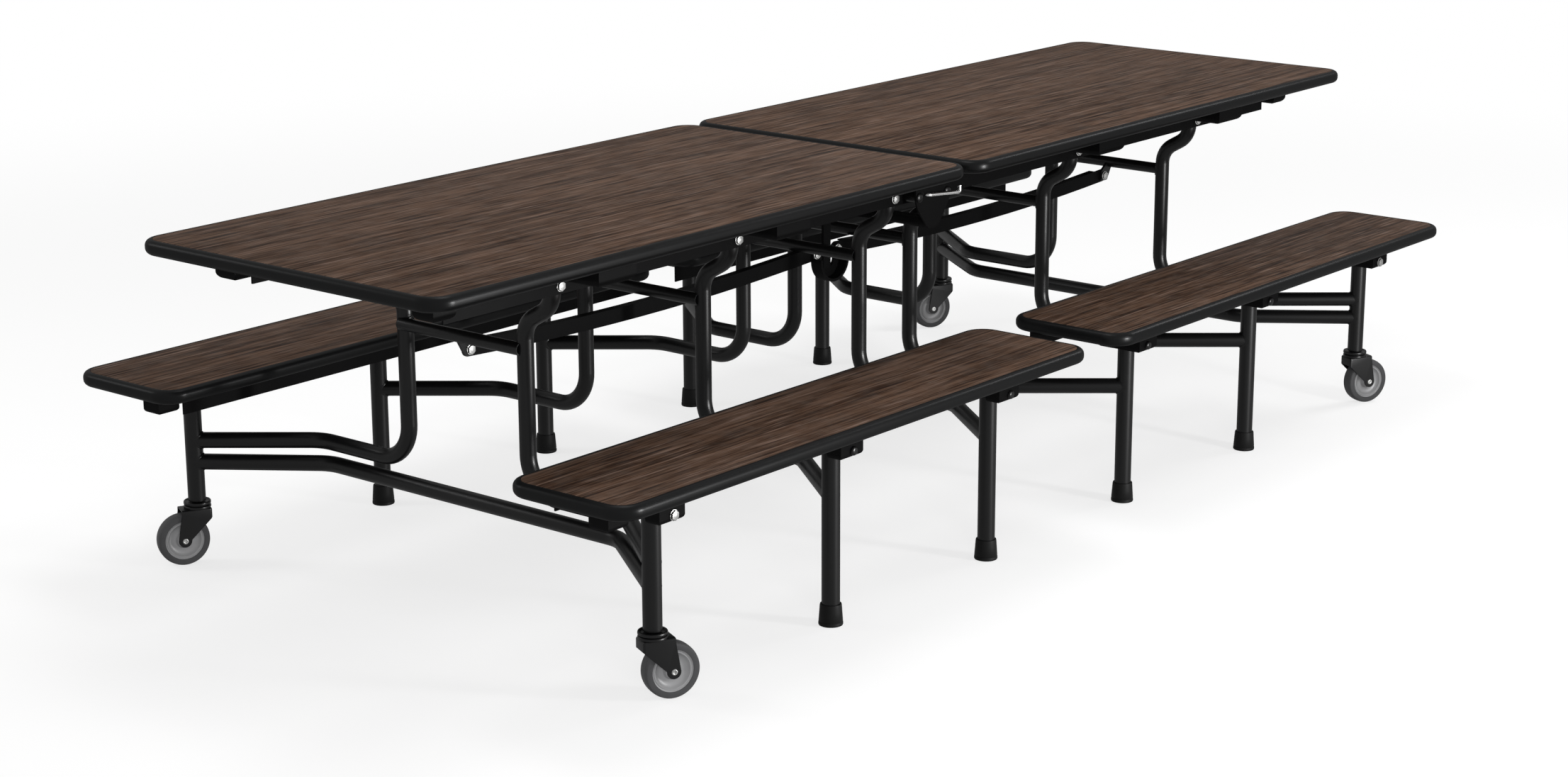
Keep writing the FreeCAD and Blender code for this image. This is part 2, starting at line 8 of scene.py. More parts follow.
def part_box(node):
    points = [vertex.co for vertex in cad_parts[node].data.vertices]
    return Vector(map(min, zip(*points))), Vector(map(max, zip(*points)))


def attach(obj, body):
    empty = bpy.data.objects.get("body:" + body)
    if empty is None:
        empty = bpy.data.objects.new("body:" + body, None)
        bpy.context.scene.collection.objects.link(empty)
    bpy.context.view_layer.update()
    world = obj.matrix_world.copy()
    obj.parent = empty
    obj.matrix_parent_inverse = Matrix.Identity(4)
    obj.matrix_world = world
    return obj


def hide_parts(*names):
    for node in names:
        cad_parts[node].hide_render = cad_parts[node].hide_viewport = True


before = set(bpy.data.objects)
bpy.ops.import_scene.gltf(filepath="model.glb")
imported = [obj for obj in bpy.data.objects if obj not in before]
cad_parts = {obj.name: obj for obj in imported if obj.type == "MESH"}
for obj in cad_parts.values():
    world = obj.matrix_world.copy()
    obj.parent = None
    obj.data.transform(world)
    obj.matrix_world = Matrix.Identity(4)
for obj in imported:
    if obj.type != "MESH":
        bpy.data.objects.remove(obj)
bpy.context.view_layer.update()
print("frame loaded:", len(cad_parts), "nodes")

halves = {"near": -1, "far": 1}
sides = {"left": 1, "right": -1}
frameDistance = {"end": 1.084, "middle": 0.586, "inner": 0.088}  # posts from the table's middle

# Camera, measured in metres and degrees: heading from +X towards +Y.
camera = {"lens": 68.42, "sensor": 36.0, "place": (-4.8759, -3.8775, 1.8908),
          "heading": 39.33, "down": 15.22, "roll": -0.18}


def addCamera():
    heading, down, roll = (math.radians(camera[key]) for key in ("heading", "down", "roll"))
    ahead = Vector((math.cos(heading) * math.cos(down), math.sin(heading) * math.cos(down),
                    -math.sin(down)))
    right = Vector((math.sin(heading), -math.cos(heading), 0.0))
    up = right.cross(ahead)
    tiltedRight = right * math.cos(roll) + up * math.sin(roll)
    tiltedUp = up * math.cos(roll) - right * math.sin(roll)
    data = bpy.data.cameras.new("camera")
    data.lens = camera["lens"]
    data.sensor_width = camera["sensor"]
    obj = bpy.data.objects.new("camera", data)
    bpy.context.scene.collection.objects.link(obj)
    turn = Matrix((tiltedRight, tiltedUp, -ahead)).transposed().to_4x4()
    obj.matrix_world = Matrix.Translation(camera["place"]) @ turn
    bpy.context.scene.camera = obj


addCamera()


# Shader helpers: nodes are made in place and joined by name.
def addNode(tree, kind, **values):
    node = tree.nodes.new(kind)
    for key, value in values.items():
        setattr(node, key, value)
    return node


def join(tree, source, target):
    tree.links.new(source, target)


def mixColours(tree, mask, first, second):
    mix = addNode(tree, "ShaderNodeMix", data_type="RGBA")
    join(tree, mask, mix.inputs["Factor"])
    for value, socket in ((first, mix.inputs[6]), (second, mix.inputs[7])):
        if isinstance(value, tuple):
            socket.default_value = (*value, 1.0)
        else:
            join(tree, value, socket)
    return mix.outputs[2]


def remap(tree, value, low, high, outLow, outHigh):
    node = addNode(tree, "ShaderNodeMapRange")
    join(tree, value, node.inputs["Value"])
    for key, number in (("From Min", low), ("From Max", high), ("To Min", outLow), ("To Max", outHigh)):
        node.inputs[key].default_value = number
    return node.outputs["Result"]


def newGroup(name, inputs, outputs):
    group = bpy.data.node_groups.new(name, "ShaderNodeTree")
    for label, kind, value in inputs:
        socket = group.interface.new_socket(name=label, in_out="INPUT", socket_type=kind)
        socket.default_value = value
    for label, kind in outputs:
        group.interface.new_socket(name=label, in_out="OUTPUT", socket_type=kind)
    return group, addNode(group, "NodeGroupInput"), addNode(group, "NodeGroupOutput")


def noise(tree, vector, scale, detail, roughness=0.5):
    node = addNode(tree, "ShaderNodeTexNoise")
    join(tree, vector, node.inputs["Vector"])
    if isinstance(scale, (int, float)):
        node.inputs["Scale"].default_value = scale
    else:
        join(tree, scale, node.inputs["Scale"])
    node.inputs["Detail"].default_value = detail
    node.inputs["Roughness"].default_value = roughness
    return node.outputs["Fac"]


# A value times its share, on top of the total so far.
def addShare(tree, value, share, total=None):
    node = addNode(tree, "ShaderNodeMath", operation="MULTIPLY" if total is None else "MULTIPLY_ADD")
    join(tree, value, node.inputs[0])
    node.inputs[1].default_value = share
    if total is not None:
        join(tree, total, node.inputs[2])
    return node.outputs[0]


def multiplied(tree, first, second):
    node = addNode(tree, "ShaderNodeMath", operation="MULTIPLY")
    join(tree, first, node.inputs[0])
    join(tree, second, node.inputs[1])
    return node.outputs[0]


def stretched(tree, vector, scale, shift=None):
    node = addNode(tree, "ShaderNodeMapping")
    join(tree, vector, node.inputs["Vector"])
    node.inputs["Scale"].default_value = scale
    if shift is not None:
        join(tree, shift, node.inputs["Location"])
    return node.outputs["Vector"]


# Straight figure of the walnut laminate, along X: each pattern's frequency per metre, its share of the
# tone, and the noise levels between which a mask rises from 0 to 1.
grain = {"broad": (0.6, 22.0, 1.0), "fine": (7.5, 210.0, 1.0), "bands": (2.4, 75.0, 1.0),
         "rare": (6.0, 160.0, 1.0), "pores": (36.0, 1300.0, 1.0),
         "fineShare": 0.55, "bandShare": 0.36, "broadShare": 0.19,
         "toneRange": (0.45, 0.66), "lightRange": (0.62, 0.74), "darkRange": (0.42, 0.3),
         "poreRange": (0.62, 0.72)}


def makeStreakGroup():
    group, inputs, outputs = newGroup(
        "straightGrain",
        [("Shift", "NodeSocketVector", (0.0, 0.0, 0.0))],
        [("Tone", "NodeSocketFloat"), ("Light", "NodeSocketFloat"), ("Dark", "NodeSocketFloat"),
         ("Pores", "NodeSocketFloat")])
    place = addNode(group, "ShaderNodeTexCoord").outputs["Object"]
    shift = inputs.outputs["Shift"]
    broad = noise(group, stretched(group, place, grain["broad"], shift), 1.0, 3.0)
    fine = noise(group, stretched(group, place, grain["fine"], shift), 1.0, 3.0, 0.6)
    bands = noise(group, stretched(group, place, grain["bands"], shift), 1.0, 4.0, 0.62)
    rare = noise(group, stretched(group, place, grain["rare"], shift), 1.0, 1.0)
    pores = noise(group, stretched(group, place, grain["pores"], shift), 1.0, 1.0)
    tone = addShare(group, bands, grain["bandShare"])
    tone = addShare(group, fine, grain["fineShare"], tone)
    tone = addShare(group, broad, grain["broadShare"], tone)
    for value, levels, label in ((tone, "toneRange", "Tone"), (rare, "lightRange", "Light"),
                                 (rare, "darkRange", "Dark"), (pores, "poreRange", "Pores")):
        join(group, remap(group, value, *grain[levels], 0.0, 1.0), outputs.inputs[label])
    return group


# Fine bumps of paint, plastic or rubber, as a normal, with a slow blotch for colour and gloss.
skin = {"bumpHeight": 0.0006, "blotchScale": 7.0, "toneRange": (0.35, 0.65), "glossRange": (0.3, 0.7)}


def makeSkinGroup():
    group, inputs, outputs = newGroup(
        "fineSkin",
        [("Scale", "NodeSocketFloat", 900.0), ("Depth", "NodeSocketFloat", 0.1)],
        [("Normal", "NodeSocketVector"), ("Blotch", "NodeSocketFloat")])
    place = addNode(group, "ShaderNodeTexCoord").outputs["Object"]
    bumps = noise(group, place, inputs.outputs["Scale"], 2.0, 0.55)
    blotch = noise(group, place, skin["blotchScale"], 4.0, 0.6)
    bump = addNode(group, "ShaderNodeBump")
    bump.inputs["Distance"].default_value = skin["bumpHeight"]
    join(group, inputs.outputs["Depth"], bump.inputs["Strength"])
    join(group, bumps, bump.inputs["Height"])
    join(group, bump.outputs["Normal"], outputs.inputs["Normal"])
    join(group, blotch, outputs.inputs["Blotch"])
    return group


# Dust that settles on upward faces, and scuffs scattered over all of them.
wear = {"upward": (0.1, 0.95), "patchScale": 24.0, "patchRange": (0.42, 0.68),
        "markScale": (90.0, 22.0, 40.0), "markRange": (0.66, 0.74)}


def makeDustGroup():
    group, inputs, outputs = newGroup(
        "settledDust",
        [("Amount", "NodeSocketFloat", 0.3), ("Scuffs", "NodeSocketFloat", 0.2)],
        [("Dust", "NodeSocketFloat"), ("Scuff", "NodeSocketFloat")])
    place = addNode(group, "ShaderNodeTexCoord").outputs["Object"]
    parts = addNode(group, "ShaderNodeSeparateXYZ")
    join(group, addNode(group, "ShaderNodeNewGeometry").outputs["Normal"], parts.inputs[0])
    upward = remap(group, parts.outputs["Z"], *wear["upward"], 0.0, 1.0)
    patches = noise(group, place, wear["patchScale"], 5.0, 0.65)
    patches = remap(group, patches, *wear["patchRange"], 0.0, 1.0)
    dust = multiplied(group, multiplied(group, upward, patches), inputs.outputs["Amount"])
    join(group, dust, outputs.inputs["Dust"])
    marks = noise(group, stretched(group, place, wear["markScale"]), 1.0, 3.0, 0.7)
    marks = remap(group, marks, *wear["markRange"], 0.0, 1.0)
    join(group, multiplied(group, marks, inputs.outputs["Scuffs"]), outputs.inputs["Scuff"])
    return group


streakGroup = makeStreakGroup()
skinGroup = makeSkinGroup()
dustGroup = makeDustGroup()


def placeGroup(tree, group, **values):
    node = addNode(tree, "ShaderNodeGroup", node_tree=group)
    for key, value in values.items():
        node.inputs[key].default_value = value
    return node


def newMaterial(name, **values):
    material = bpy.data.materials.new(name)
    material.use_nodes = True
    tree = material.node_tree
    shader = tree.nodes["Principled BSDF"]
    for key, value in values.items():
        shader.inputs[key].default_value = value
    return material, tree, shader


laminate = {"brown": (0.029, 0.0158, 0.0102), "light": (0.124, 0.0735, 0.0495),
            "dark": (0.012, 0.007, 0.0055), "paleStreak": (0.19, 0.125, 0.096),
            "dust": (0.4, 0.38, 0.36), "darkShare": 0.8, "paleShare": 0.75, "poreShare": 0.45,
            "dustAmount": 0.04, "bumpStrength": 0.12, "bumpHeight": 0.0004,
            "roughness": (0.42, 0.56), "coat": (0.05, 0.085), "coatRoughness": 0.34}


def makeLaminate(name, shift):
    material, tree, shader = newMaterial(name)
    shader.inputs["Specular IOR Level"].default_value = 0.0
    shader.inputs["Coat Roughness"].default_value = laminate["coatRoughness"]
    figure = placeGroup(tree, streakGroup, Shift=shift).outputs
    dust = placeGroup(tree, dustGroup, Amount=laminate["dustAmount"])
    colour = mixColours(tree, figure["Tone"], laminate["brown"], laminate["light"])
    for mask, share, tint in (("Dark", "darkShare", "dark"), ("Light", "paleShare", "paleStreak"),
                              ("Pores", "poreShare", "dark")):
        amount = remap(tree, figure[mask], 0.0, 1.0, 0.0, laminate[share])
        colour = mixColours(tree, amount, colour, laminate[tint])
    colour = mixColours(tree, dust.outputs["Dust"], colour, laminate["dust"])
    join(tree, colour, shader.inputs["Base Color"])
    roughness = remap(tree, figure["Tone"], 0.0, 1.0, *laminate["roughness"])
    join(tree, roughness, shader.inputs["Roughness"])
    coatWeight = remap(tree, figure["Pores"], 1.0, 0.0, *laminate["coat"])
    join(tree, coatWeight, shader.inputs["Coat Weight"])
    bump = addNode(tree, "ShaderNodeBump")
    bump.inputs["Strength"].default_value = laminate["bumpStrength"]
    bump.inputs["Distance"].default_value = laminate["bumpHeight"]
    join(tree, figure["Pores"], bump.inputs["Height"])
    join(tree, bump.outputs["Normal"], shader.inputs["Normal"])
    return material


# One painted, moulded or plated surface: two tones, a roughness range, the scale and depth of its
# texture, the amounts of dust and scuffs, and a clear coat's values for paint and plastic.
def makeSurface(name, tones, roughness, texture, dust, dustColour, coat=None, **values):
    material, tree, shader = newMaterial(name, **values)
    skinNode = placeGroup(tree, skinGroup, Scale=texture[0], Depth=texture[1])
    dustNode = placeGroup(tree, dustGroup, Amount=dust[0], Scuffs=dust[1])
    blotch = skinNode.outputs["Blotch"]
    colour = mixColours(tree, remap(tree, blotch, *skin["toneRange"], 0.0, 1.0), *tones)
    colour = mixColours(tree, dustNode.outputs["Dust"], colour, dustColour)
    colour = mixColours(tree, dustNode.outputs["Scuff"], colour, dustColour)
    join(tree, colour, shader.inputs["Base Color"])
    join(tree, remap(tree, blotch, *skin["glossRange"], *roughness), shader.inputs["Roughness"])
    join(tree, skinNode.outputs["Normal"], shader.inputs["Normal"])
    if coat:
        shader.inputs["Specular IOR Level"].default_value = coat["specular"]
        shader.inputs["Coat Roughness"].default_value = coat["roughness"]
        coatWeight = remap(tree, blotch, *skin["glossRange"], *coat["weight"])
        join(tree, coatWeight, shader.inputs["Coat Weight"])
    return material


coats = {"paint": {"specular": 0.0, "roughness": 0.33, "weight": (0.34, 0.27)},
         "sheetPaint": {"specular": 0.0, "roughness": 0.4, "weight": (0.07, 0.05)},
         "edge": {"specular": 0.0, "roughness": 0.33, "weight": (0.16, 0.12)},
         "dull": {"specular": 0.05, "roughness": 0.5, "weight": (0.06, 0.03)},
         "hub": {"specular": 0.2, "roughness": 0.4, "weight": (0.08, 0.04)}}
materials = {
    "laminateNear": makeLaminate("laminateNear", (0.0, 0.0, 0.0)),
    "laminateFar": makeLaminate("laminateFar", (13.7, 4.3, 0.0)),
    "backing": makeSurface("backing", ((0.07, 0.044, 0.033), (0.105, 0.068, 0.052)), (0.5, 0.62),
                           (500.0, 0.15), (0.0, 0.1), (0.2, 0.17, 0.15), coats["dull"]),
    "edge": makeSurface("mouldedEdge", ((0.0052, 0.0054, 0.0056), (0.0078, 0.008, 0.0082)), (0.4, 0.5),
                        (700.0, 0.06), (0.012, 0.02), (0.09, 0.09, 0.09), coats["edge"]),
    "paint": makeSurface("blackPowderCoat", ((0.0032, 0.0032, 0.0034), (0.0062, 0.0062, 0.0064)),
                         (0.4, 0.52), (1100.0, 0.22), (0.015, 0.02), (0.09, 0.088, 0.085), coats["paint"]),
    "sheetPaint": makeSurface("pressedSheetPaint", ((0.003, 0.003, 0.0032), (0.0058, 0.0058, 0.006)),
                              (0.45, 0.56), (900.0, 0.2), (0.012, 0.02), (0.09, 0.088, 0.085),
                              coats["sheetPaint"]),
    "zinc": makeSurface("zincPlate", ((0.17, 0.17, 0.167), (0.25, 0.25, 0.245)), (0.45, 0.58), (1500.0, 0.1),
                        (0.05, 0.1), (0.3, 0.3, 0.29), Metallic=1.0),
    "yellowZinc": makeSurface("yellowZinc", ((0.46, 0.36, 0.2), (0.6, 0.5, 0.32)), (0.28, 0.42),
                              (1500.0, 0.1), (0.05, 0.1), (0.3, 0.28, 0.2), Metallic=1.0),
    "bright": makeSurface("brightRod", ((0.5, 0.5, 0.5), (0.62, 0.62, 0.62)), (0.2, 0.32), (1800.0, 0.05),
                          (0.03, 0.06), (0.4, 0.4, 0.4), Metallic=1.0),
    "rubber": makeSurface("footRubber", ((0.0045, 0.0045, 0.0045), (0.0095, 0.0095, 0.0095)), (0.62, 0.78),
                          (900.0, 0.25), (0.06, 0.05), (0.08, 0.078, 0.075), coats["dull"]),
    "tread": makeSurface("treadRubber", ((0.062, 0.062, 0.064), (0.085, 0.085, 0.088)), (0.5, 0.66),
                         (900.0, 0.2), (0.08, 0.06), (0.2, 0.195, 0.19), coats["dull"]),
    "hub": makeSurface("hubNylon", ((0.28, 0.28, 0.285), (0.34, 0.34, 0.345)), (0.4, 0.55), (800.0, 0.12),
                       (0.06, 0.06), (0.22, 0.22, 0.22), coats["hub"]),
}
print("materials:", len(materials))


# The CAD nodes get their finish here. Pressed sheet is duller than tube.
slotFinish = {"laminate": "laminateNear", "edge": "edge", "frame_paint": "paint", "zinc": "zinc",
              "bright_rod": "bright", "ferrule": "rubber", "tread": "tread", "hub": "hub"}
sheetNodes = ("_top_rails", "_bench_brackets", "centre_link", "_sync_bar")
for name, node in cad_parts.items():
    for holder in node.material_slots:
        key = holder.material.name.split(".")[0] if holder.material else "frame_paint"
        holder.material = materials["sheetPaint" if name.endswith(sheetNodes) else slotFinish[key]]
print("CAD nodes dressed")


# Mesh helpers.
def newPiece(name, bm, finish, body, replaced=(), sharpAngle=38.0):
    bmesh.ops.remove_doubles(bm, verts=bm.verts, dist=1e-6)
    bmesh.ops.recalc_face_normals(bm, faces=bm.faces)
    mesh = bpy.data.meshes.new(name)
    bm.to_mesh(mesh)
    bm.free()
    for key in [finish] if isinstance(finish, str) else finish:
        mesh.materials.append(materials[key])
    mesh.shade_smooth()
    mesh.set_sharp_from_angle(angle=math.radians(sharpAngle))
    obj = bpy.data.objects.new(name, mesh)
    bpy.context.scene.collection.objects.link(obj)
    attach(obj, body)
    if replaced:
        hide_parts(*replaced)
    return obj


def onlyVerts(items):
    return [item for item in items if isinstance(item, bmesh.types.BMVert)]


def easeEdges(bm, edges, width, segments=2):
    bmesh.ops.bevel(bm, geom=edges, offset=width, offset_type="OFFSET", segments=segments, profile=0.5,
                    affect="EDGES", material=-1, clamp_overlap=True)


def sharpEdges(verts):
    found = {edge for vert in verts for edge in vert.link_edges}
    return [edge for edge in found if len(edge.link_faces) == 2
            and edge.calc_face_angle(0.0) > math.radians(30.0)]


def added(bm, before):
    return [vert for vert in bm.verts if vert not in before]


# A round or many-sided disc along the local Z of its place, with eased rims.
def disc(bm, place, radius, z0, z1, segments, ease=0.0):
    before = set(bm.verts)
    made = bmesh.ops.create_circle(bm, cap_ends=True, radius=radius, segments=segments,
                                   matrix=Matrix.Translation((0, 0, z0)))
    cap = made["verts"][0].link_faces[0]
    raised = bmesh.ops.extrude_face_region(bm, geom=[cap])["geom"]
    bmesh.ops.translate(bm, vec=(0, 0, z1 - z0), verts=onlyVerts(raised))
    if ease:
        rims = [edge for edge in sharpEdges(added(bm, before))
                if abs(edge.verts[0].co.z - edge.verts[1].co.z) < 1e-6]
        easeEdges(bm, rims, ease)
    bmesh.ops.transform(bm, matrix=place, verts=added(bm, before))


# A turned shape: its outline is a list of (radius, height) points, spun about the local Z.
def turned(bm, place, outline, steps, closed=False):
    before = set(bm.verts)
    points = [bm.verts.new((radius, 0.0, height)) for radius, height in outline]
    edges = [bm.edges.new(pair) for pair in zip(points, points[1:])]
    if closed:
        edges.append(bm.edges.new((points[-1], points[0])))
    bmesh.ops.spin(bm, geom=points + edges, cent=(0, 0, 0), axis=(0, 0, 1), dvec=(0, 0, 0),
                   angle=2 * math.pi, steps=steps, use_merge=True, use_duplicate=False)
    bmesh.ops.remove_doubles(bm, verts=added(bm, before), dist=1e-6)
    bmesh.ops.transform(bm, matrix=place, verts=added(bm, before))


# A place whose local Z points along the direction.
def facing(centre, direction):
    return Matrix.Translation(centre) @ Vector(direction).to_track_quat("Z", "Y").to_matrix().to_4x4()


# The box of each separate solid of a CAD node, sorted by its low corner.
def solidBoxes(node):
    bm = bmesh.new()
    bm.from_mesh(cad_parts[node].data)
    bmesh.ops.remove_doubles(bm, verts=bm.verts, dist=1e-6)
    left = set(bm.verts)
    boxes = []
    while left:
        reached = [left.pop()]
        island = []
        while reached:
            vert = reached.pop()
            island.append(vert.co.copy())
            for edge in vert.link_edges:
                other = edge.other_vert(vert)
                if other in left:
                    left.discard(other)
                    reached.append(other)
        lows = Vector([min(co[axis] for co in island) for axis in range(3)])
        highs = Vector([max(co[axis] for co in island) for axis in range(3)])
        boxes.append((lows, highs))
    bm.free()
    return sorted(boxes, key=lambda pair: tuple(pair[0]))


# Boards: a laminated slab in a closed moulded edge.
boards = {"cornerRadius": 0.05, "edgeWidth": 0.014, "edgeRounding": 0.0118, "groove": 0.0012,
          "cornerSteps": 14, "roundingSteps": 7}


def roundedPlan(bm, x0, x1, y0, y1, z, radius, steps):
    corners = [bm.verts.new(place) for place in ((x0, y0, z), (x1, y0, z), (x1, y1, z), (x0, y1, z))]
    bm.faces.new(corners)
    bmesh.ops.bevel(bm, geom=corners, offset=radius, offset_type="OFFSET", segments=steps, profile=0.5,
                    affect="VERTICES", material=-1, clamp_overlap=True)
    return max(bm.faces, key=lambda face: face.calc_area())


def raiseFaces(bm, faces, height):
    raised = bmesh.ops.extrude_face_region(bm, geom=faces)["geom"]
    bmesh.ops.translate(bm, vec=(0, 0, height), verts=onlyVerts(raised))
    bmesh.ops.recalc_face_normals(bm, faces=bm.faces)


# The edges at one height along the walls that face away from the middle, or towards it.
def rimEdges(bm, z, outward, centre):
    found = []
    for edge in bm.edges:
        if len(edge.link_faces) != 2 or any(abs(vert.co.z - z) > 1e-6 for vert in edge.verts):
            continue
        walls = [face for face in edge.link_faces if abs(face.normal.z) < 0.5]
        if walls and (walls[0].normal.dot(walls[0].calc_center_median() - centre) > 0) == outward:
            found.append(edge)
    return found


def makeBoard(name, body, finish, boardNode, edgeNode):
    lo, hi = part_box(edgeNode)
    inset = boards["edgeWidth"]
    centre = (lo + hi) / 2
    bm = bmesh.new()
    plan = roundedPlan(bm, lo.x + inset, hi.x - inset, lo.y + inset, hi.y - inset, lo.z,
                       boards["cornerRadius"] - inset, boards["cornerSteps"])
    raiseFaces(bm, [plan], hi.z - lo.z)
    easeEdges(bm, rimEdges(bm, hi.z, True, centre), boards["groove"])
    # Laminate above, backing below, and a dark rim against the moulding: partly the laminate's dark core
    # line, partly painted shade for the groove's shadow, in dull rubber so that it shows no glint.
    for face in bm.faces:
        face.material_index = 1 if face.normal.z < -0.5 else 2 if face.normal.z < 0.9 else 0
    newPiece(name + "_laminate", bm, [finish, "backing", "rubber"], body, [boardNode])
    bm = bmesh.new()
    plan = roundedPlan(bm, lo.x, hi.x, lo.y, hi.y, lo.z, boards["cornerRadius"], boards["cornerSteps"])
    ring = bmesh.ops.inset_region(bm, faces=[plan], thickness=inset, use_even_offset=True,
                                   use_boundary=True)["faces"]
    inner = [face for face in bm.faces if face not in set(ring)]
    bmesh.ops.delete(bm, geom=inner, context="FACES")
    raiseFaces(bm, list(bm.faces), hi.z - lo.z)
    outerRims = rimEdges(bm, hi.z, True, centre) + rimEdges(bm, lo.z, True, centre)
    easeEdges(bm, outerRims, boards["edgeRounding"], boards["roundingSteps"])
    easeEdges(bm, rimEdges(bm, hi.z, False, centre), boards["groove"])
    newPiece(name + "_moulding", bm, "edge", body, [edgeNode], 50.0)


for half in halves:
    finish = "laminateNear" if half == "near" else "laminateFar"
    makeBoard(half + "_top", half + "_top", finish, half + "_top_board", half + "_top_edge")
    for side in sides:
        bench = half + "_" + side + "_bench"
        makeBoard(bench, bench, finish, bench + "_board", bench + "_edge")
print("boards made")


# Fasteners: hex nuts on washers at both ends of a bolt, domes at both ends of a bench pin.
fasteners = {"headHeight": 0.006, "nutFlats": 0.0165, "nutEase": 0.0009, "washerRadius": 0.0105,
             "washerThickness": 0.0016, "washerEase": 0.0004, "shankRadius": 0.005, "shankEase": 0.0008,
             "threadOut": 0.0006, "domeRadius": 0.009, "topBoltsAbove": 0.45}


# A bolt's plain shank, and the places of its two heads.
def shankAndHeads(bm, lo, hi):
    x, z = (lo.x + hi.x) / 2, (lo.z + hi.z) / 2
    height = fasteners["headHeight"]
    disc(bm, facing((x, lo.y + height, z), (0, 1, 0)), fasteners["shankRadius"], 0.0,
         hi.y - lo.y - 2 * height, 20)
    return [facing((x, y, z), (0, way, 0)) for y, way in ((lo.y + height, -1), (hi.y - height, 1))]


def hexBolt(bm, lo, hi):
    height, washer = fasteners["headHeight"], fasteners["washerThickness"]
    nutRadius = fasteners["nutFlats"] / math.sqrt(3)
    for place in shankAndHeads(bm, lo, hi):
        disc(bm, place, fasteners["washerRadius"], 0.0, washer, 32, fasteners["washerEase"])
        disc(bm, place, nutRadius, washer, height - fasteners["threadOut"], 6, fasteners["nutEase"])
        disc(bm, place, fasteners["shankRadius"], washer, height, 20, fasteners["shankEase"])


def domedPin(bm, lo, hi):
    height, radius = fasteners["headHeight"], fasteners["domeRadius"]
    outline = [(radius, 0.0), (radius, height * 0.35), (radius * 0.9, height * 0.68),
               (radius * 0.66, height * 0.9), (radius * 0.35, height), (0.0, height)]
    for place in shankAndHeads(bm, lo, hi):
        turned(bm, place, outline, 32)


for half in halves:
    for name in frameDistance:
        body = half + "_" + name + "_frame"
        bolts = bmesh.new()
        benchPins = bmesh.new()
        for lo, hi in solidBoxes(body + "_bolts"):
            if hi.z > fasteners["topBoltsAbove"] or name == "end":
                hexBolt(bolts, lo, hi)
            else:
                domedPin(benchPins, lo, hi)
        newPiece(body + "_fasteners", bolts, "zinc", body, [body + "_bolts"])
        if name != "end":
            newPiece(body + "_bench_pins", benchPins, "paint", body)


linkPins = {"headRadius": 0.01, "headHeight": 0.005, "shankRadius": 0.006, "shoulderRadius": 0.011,
            "shoulder": (0.2503, 0.279), "hingesBeyond": 0.2}


# A shouldered hinge pin with a low dome at each end.
def hingePin(bm, lo, hi):
    outward = 1 if lo.y > 0 else -1
    near, far = sorted((abs(lo.y), abs(hi.y)))
    head, shank, shoulder = (linkPins[key] for key in ("headRadius", "shankRadius", "shoulderRadius"))
    height = linkPins["headHeight"]
    low, high = linkPins["shoulder"]
    dome = [(0.0, 0.0), (head * 0.5, 0.0004), (head * 0.85, 0.0015), (head, 0.0032), (head, height)]
    outline = [(radius, near + rise) for radius, rise in dome]
    outline += [(shank, near + height), (shank, low), (shoulder, low), (shoulder, high), (shank, high),
                (shank, far - height)]
    outline += [(radius, far - rise) for radius, rise in reversed(dome)]
    turned(bm, facing(((lo.x + hi.x) / 2, 0.0, (lo.z + hi.z) / 2), (0, outward, 0)), outline, 32)


pins = bmesh.new()
barBolts = bmesh.new()
for lo, hi in solidBoxes("link_pins"):
    if abs(lo.y) > linkPins["hingesBeyond"]:
        hingePin(pins, lo, hi)
    else:
        hexBolt(barBolts, lo, hi)
newPiece("link_hinge_pins", pins, "paint", "link", ["link_pins"])
newPiece("link_bar_bolts", barBolts, "zinc", "link")
print("fasteners made")


# Casters: tread, hub and fork, made with the axle along Y and then turned into place.
caster = {"turn": {"left": 154.0, "right": -26.0}, "trail": 0.032, "wheelRadius": 0.052, "legX": 1.244,
          "legY": 0.605, "top": 0.115, "front": 0.025, "back": 0.036, "skirt": 0.01, "frontSkirt": 0.02,
          "halfWidth": 0.02, "wall": 0.003, "foot": 0.013, "fold": 0.0042, "footRise": 0.001,
          "footGap": 0.0001, "edgeEase": 0.0004, "axleRadius": 0.005}
# Half outlines of the wheel as (radius, distance from its middle plane).
treadHalf = [(0.052, 0.0), (0.0519, 0.0045), (0.05165, 0.0084), (0.0512, 0.0090), (0.0514, 0.0095),
             (0.0508, 0.0125), (0.0492, 0.0143), (0.0465, 0.0150), (0.039, 0.0145)]
hubHalf = [(0.00505, 0.0145), (0.0125, 0.0148), (0.0142, 0.0136), (0.0152, 0.0095), (0.0172, 0.0066),
           (0.0215, 0.0058), (0.0275, 0.0066), (0.0312, 0.0092), (0.0326, 0.0118), (0.0336, 0.0128),
           (0.0356, 0.0128), (0.0362, 0.0118), (0.0368, 0.0122), (0.0386, 0.0136), (0.039, 0.0132)]


def casterPlace(half, side):
    return (Matrix.Translation((halves[half] * caster["legX"], sides[side] * caster["legY"], 0.0))
            @ Matrix.Rotation(math.radians(caster["turn"][side]), 4, "Z"))


def mirrored(outline):
    return [(radius, -height) for radius, height in reversed(outline)]


def makeWheel(half, side):
    stem = half + "_" + side + "_"
    place = casterPlace(half, side) @ facing((caster["trail"], 0.0, caster["wheelRadius"]), (0, 1, 0))
    bm = bmesh.new()
    turned(bm, place, mirrored(treadHalf[1:]) + treadHalf, 96, closed=True)
    newPiece(stem + "wheel_tread", bm, "tread", stem + "wheel", [stem + "caster_tread"], 25.0)
    bm = bmesh.new()
    turned(bm, place, hubHalf + mirrored(hubHalf), 72, closed=True)
    newPiece(stem + "wheel_hub", bm, "hub", stem + "wheel", [stem + "caster_hub"], 40.0)


for half in halves:
    for side in sides:
        makeWheel(half, side)
print("wheels made")


